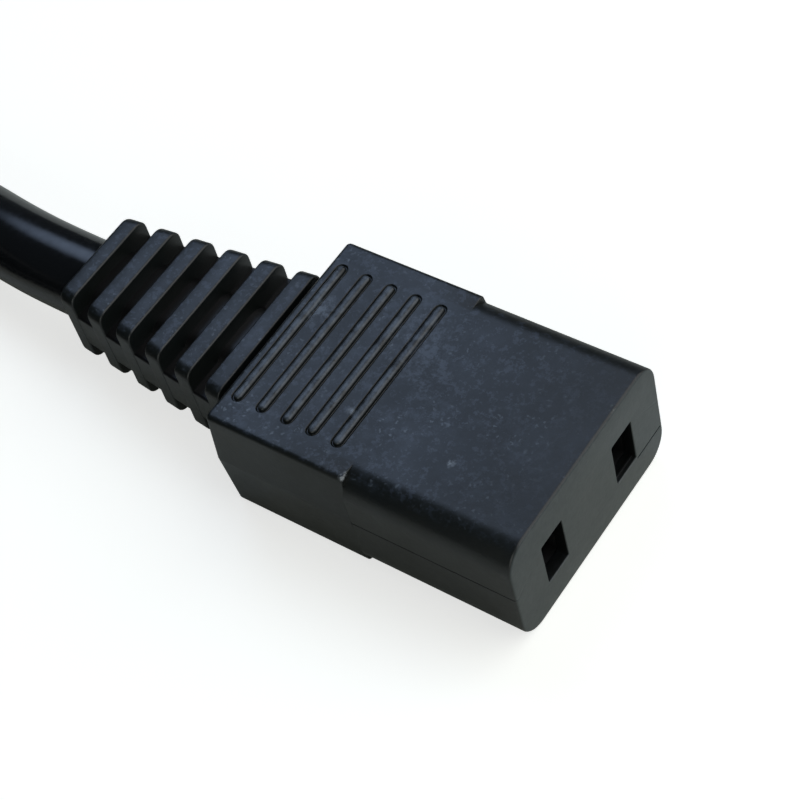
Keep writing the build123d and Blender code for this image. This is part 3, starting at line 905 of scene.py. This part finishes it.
def plug_outline(x):
    """The plug's section at an x: the body, the neck that narrows softly, or the grooved relief."""
    steps = 8
    if x >= PLUG_SHOULDER_X:
        return rounded_outline(PLUG_HALF_WIDTH, PLUG_HALF_HEIGHT, PLUG_CORNER, steps)
    if x >= PLUG_RELIEF_X:
        share = (PLUG_SHOULDER_X - x) / NECK_LENGTH
        soft = share * share * (3 - 2 * share)
        half_y = PLUG_HALF_WIDTH + soft * (NECK_HALF_WIDTH - PLUG_HALF_WIDTH)
        half_z = PLUG_HALF_HEIGHT + soft * (NECK_HALF_HEIGHT - PLUG_HALF_HEIGHT)
        return rounded_outline(half_y, half_z, PLUG_CORNER, steps)
    share = (PLUG_RELIEF_X - x) / PLUG_RELIEF_LENGTH
    half_y = NECK_HALF_WIDTH + share * (PLUG_END_HALF_WIDTH - NECK_HALF_WIDTH)
    half_z = NECK_HALF_HEIGHT + share * (PLUG_END_HALF_HEIGHT - NECK_HALF_HEIGHT)
    if any(front - GROOVE_WIDTH < x < front for front in GROOVE_FRONTS):
        half_y -= GROOVE_DEPTH
        half_z -= GROOVE_DEPTH
    # The corner can't be rounder than the section is high.
    return rounded_outline(half_y, half_z, min(PLUG_CORNER, half_z - 0.02), steps)


def plug_stations():
    """Places along the plug: on its rounded end, on both sides of each groove's edges, down the neck and
    on the body."""
    stations = [PLUG_REAR_X + c for c in (0.0, 0.08, 0.25, 0.5)]
    for front in GROOVE_FRONTS:
        for edge in (front - GROOVE_WIDTH, front):
            stations += [edge + c for c in (-0.12, -0.051, 0.051, 0.12)]
    stations += [PLUG_RELIEF_X + NECK_LENGTH * i / 8 for i in range(9)]
    stations += [PLUG_SHOULDER_X + c for c in (0.4, 17.0, 17.9)]
    return sorted(stations)


def plug_shell():
    """The plug's skin, rounded at its end and its face, with the recess that its insert fills."""
    build = Build()
    loops = []
    for x in plug_stations():
        before = max(0.0, PLUG_END_EDGE - (x - PLUG_REAR_X))
        inset = PLUG_END_EDGE - math.sqrt(max(0.0, PLUG_END_EDGE**2 - before**2))
        loops.append(build.ring(section(x, plug_outline(x), inset, PLUG_Y, PLUG_Z)))
    for inset, short in quarter(5)[1:]:
        x = PLUG_FACE_X - PLUG_FACE_EDGE * short
        loops.append(build.ring(section(x, plug_outline(x), PLUG_FACE_EDGE * inset, PLUG_Y, PLUG_Z)))
    build.skin(loops)
    build.cap(loops[0], flip=True)
    recess = rounded_outline(RECESS_HALF_WIDTH, RECESS_HALF_HEIGHT, RECESS_CORNER, 2)
    hole = build.ring(section(PLUG_FACE_X, recess, 0.0, PLUG_Y, PLUG_Z))
    bottom = build.ring(section(PLUG_FACE_X - RECESS_DEPTH, recess, 0.0, PLUG_Y, PLUG_Z))
    build.fill(loops[-1], [hole])
    build.bridge(hole, bottom)
    return build.mesh("plug_body_visual", PLUG)


plug = place(plug_shell(), ["plug_body"])


# The band round the coil


def band_loop(angle, thickness):
    """The band's section at an angle of the coil, so thick outside the turns' rounded outline."""
    turn = TURN_PITCH / 2
    inner = rounded_outline(3 * turn + BAND_SLACK, 2 * turn + BAND_SLACK, BAND_CORNER)
    a = math.radians(angle)
    out = []
    for y, z, ny, nz in inner:
        r = COIL_RADIUS + y + thickness * ny
        height = COIL_LEVEL + turn + z + thickness * nz
        out.append((COIL_X + r * math.cos(a), COIL_Y + r * math.sin(a), height))
    return out


def band():
    """A closed strap round three turns in two layers, with thinner edges."""
    build = Build()
    steps = 8
    angles = [BAND_FROM + (BAND_TO - BAND_FROM) * i / steps for i in range(steps + 1)]
    edge = BAND_THICKNESS * BAND_EDGE_SHARE
    profile = [(BAND_FROM, 0.0), (BAND_FROM, edge), (BAND_FROM + BAND_EDGE, BAND_THICKNESS)]
    profile += [(a, BAND_THICKNESS) for a in angles[1:-1]]
    profile += [(BAND_TO - BAND_EDGE, BAND_THICKNESS), (BAND_TO, edge), (BAND_TO, 0.0)]
    loops = [build.ring(band_loop(a, thickness)) for a, thickness in profile]
    build.skin(loops)
    build.bridge(loops[-1], loops[0])
    return build.mesh("coil_tie_visual", BAND)


tie = place(band(), ["coil_tie"])


# CAD nodes that show as they are

FINISHES = {
    "contact_carrier": INSERT,
    "line_contact": BRASS,
    "neutral_contact": BRASS,
    "line_core": CORE_BLACK,
    "neutral_core": CORE_WHITE,
    "line_strands": COPPER,
    "neutral_strands": COPPER,
    "plug_bridge": INSERT,
    "line_blade": BLADE,
    "neutral_blade": BLADE,
    "plug_line_core": CORE_BLACK,
    "plug_neutral_core": CORE_WHITE,
    "plug_line_strands": COPPER,
    "plug_neutral_strands": COPPER,
}
for node_name, finish in FINISHES.items():
    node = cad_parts[node_name]
    node.data.materials.clear()
    node.data.materials.append(finish)


# Floor, light and camera


def pale_floor():
    """A matt pale board. The camera's rays see it lifted to white, and it keeps the part's shadow."""
    material, tree = new_material("floor_pale")
    seen = add_node(tree, "ShaderNodeLightPath", out="Is Camera Ray")
    surface = {
        "Base Color": linear("dadcd2"),
        "Roughness": 0.7,
        "Emission Color": linear("ffffff"),
        "Emission Strength": add_node(tree, "ShaderNodeMapRange", [seen, 0.0, 1.0, 0.0, FLOOR_LIFT]),
    }
    give_surface(tree, surface)
    ends = (-FLOOR_HALF_SIZE, FLOOR_HALF_SIZE)
    data = bpy.data.meshes.new("floor")
    data.from_pydata([(ends[i], ends[j], 0) for i, j in CORNERS], [], [(0, 1, 2, 3)])
    data.materials.append(material)
    add_object("floor", data)


def soft_box(name, place_at, size, power, colour):
    """A square lamp that faces the part. Its place and size are in metres, its power in watts."""
    light = bpy.data.lights.new(name, "AREA")
    light.shape = "SQUARE"
    light.size = size
    light.energy = power
    light.color = linear(colour)[:3]
    obj = add_object(name, light)
    obj.location = place_at
    obj.rotation_euler = (-Vector(place_at)).to_track_quat("-Z", "Y").to_euler()


def world_light():
    """A soft bluish window light from behind. The camera itself sees plain white."""
    world = bpy.data.worlds.new("studio")
    bpy.context.scene.world = world
    world.use_nodes = True
    tree = world.node_tree
    tree.nodes.clear()
    way = add_node(tree, "ShaderNodeTexCoord", out="Generated")
    towards = [way, WINDOW_WAY]
    cosine = add_node(tree, "ShaderNodeVectorMath", towards, out="Value", operation="DOT_PRODUCT")
    window = add_node(tree, "ShaderNodeMapRange", [cosine, *WINDOW_EDGE])
    sky = lay_over(tree, linear("2e3236"), WINDOW_LIGHT, window)
    seen = add_node(tree, "ShaderNodeLightPath", out="Is Camera Ray")
    colour = lay_over(tree, sky, linear("ffffff"), seen)
    background = add_node(tree, "ShaderNodeBackground", [colour, 1.0])
    add_node(tree, "ShaderNodeOutputWorld", {"Surface": background}, out=None)


def photo_camera():
    """The camera, fitted to the part's corners in the photograph: its lens in millimetres, its place in
    metres and its axes."""
    data = bpy.data.cameras.new("camera")
    data.sensor_width = 36.0
    data.lens = 94.146
    data.clip_start = 0.01
    place_at = (0.091252, -0.074912, 0.149342)
    right = Vector((0.81142112, 0.55453363, -0.18462994))
    down = Vector((0.35624798, -0.71969195, -0.59592857))
    forward = Vector((-0.46333912, 0.41777499, -0.78152474))
    turn = Matrix((right, -down, -forward)).transposed().to_4x4()
    camera = add_object("camera", data)
    camera.matrix_world = Matrix.Translation(place_at) @ turn
    bpy.context.scene.camera = camera


pale_floor()
world_light()
soft_box("key", (0.52, 0.42, 0.62), 1.2, 6.6, "fbfdff")
soft_box("fill", (0.35, -0.7, 0.4), 0.6, 1.6, "fbfffa")
photo_camera()
bpy.context.scene.view_settings.view_transform = "Standard"
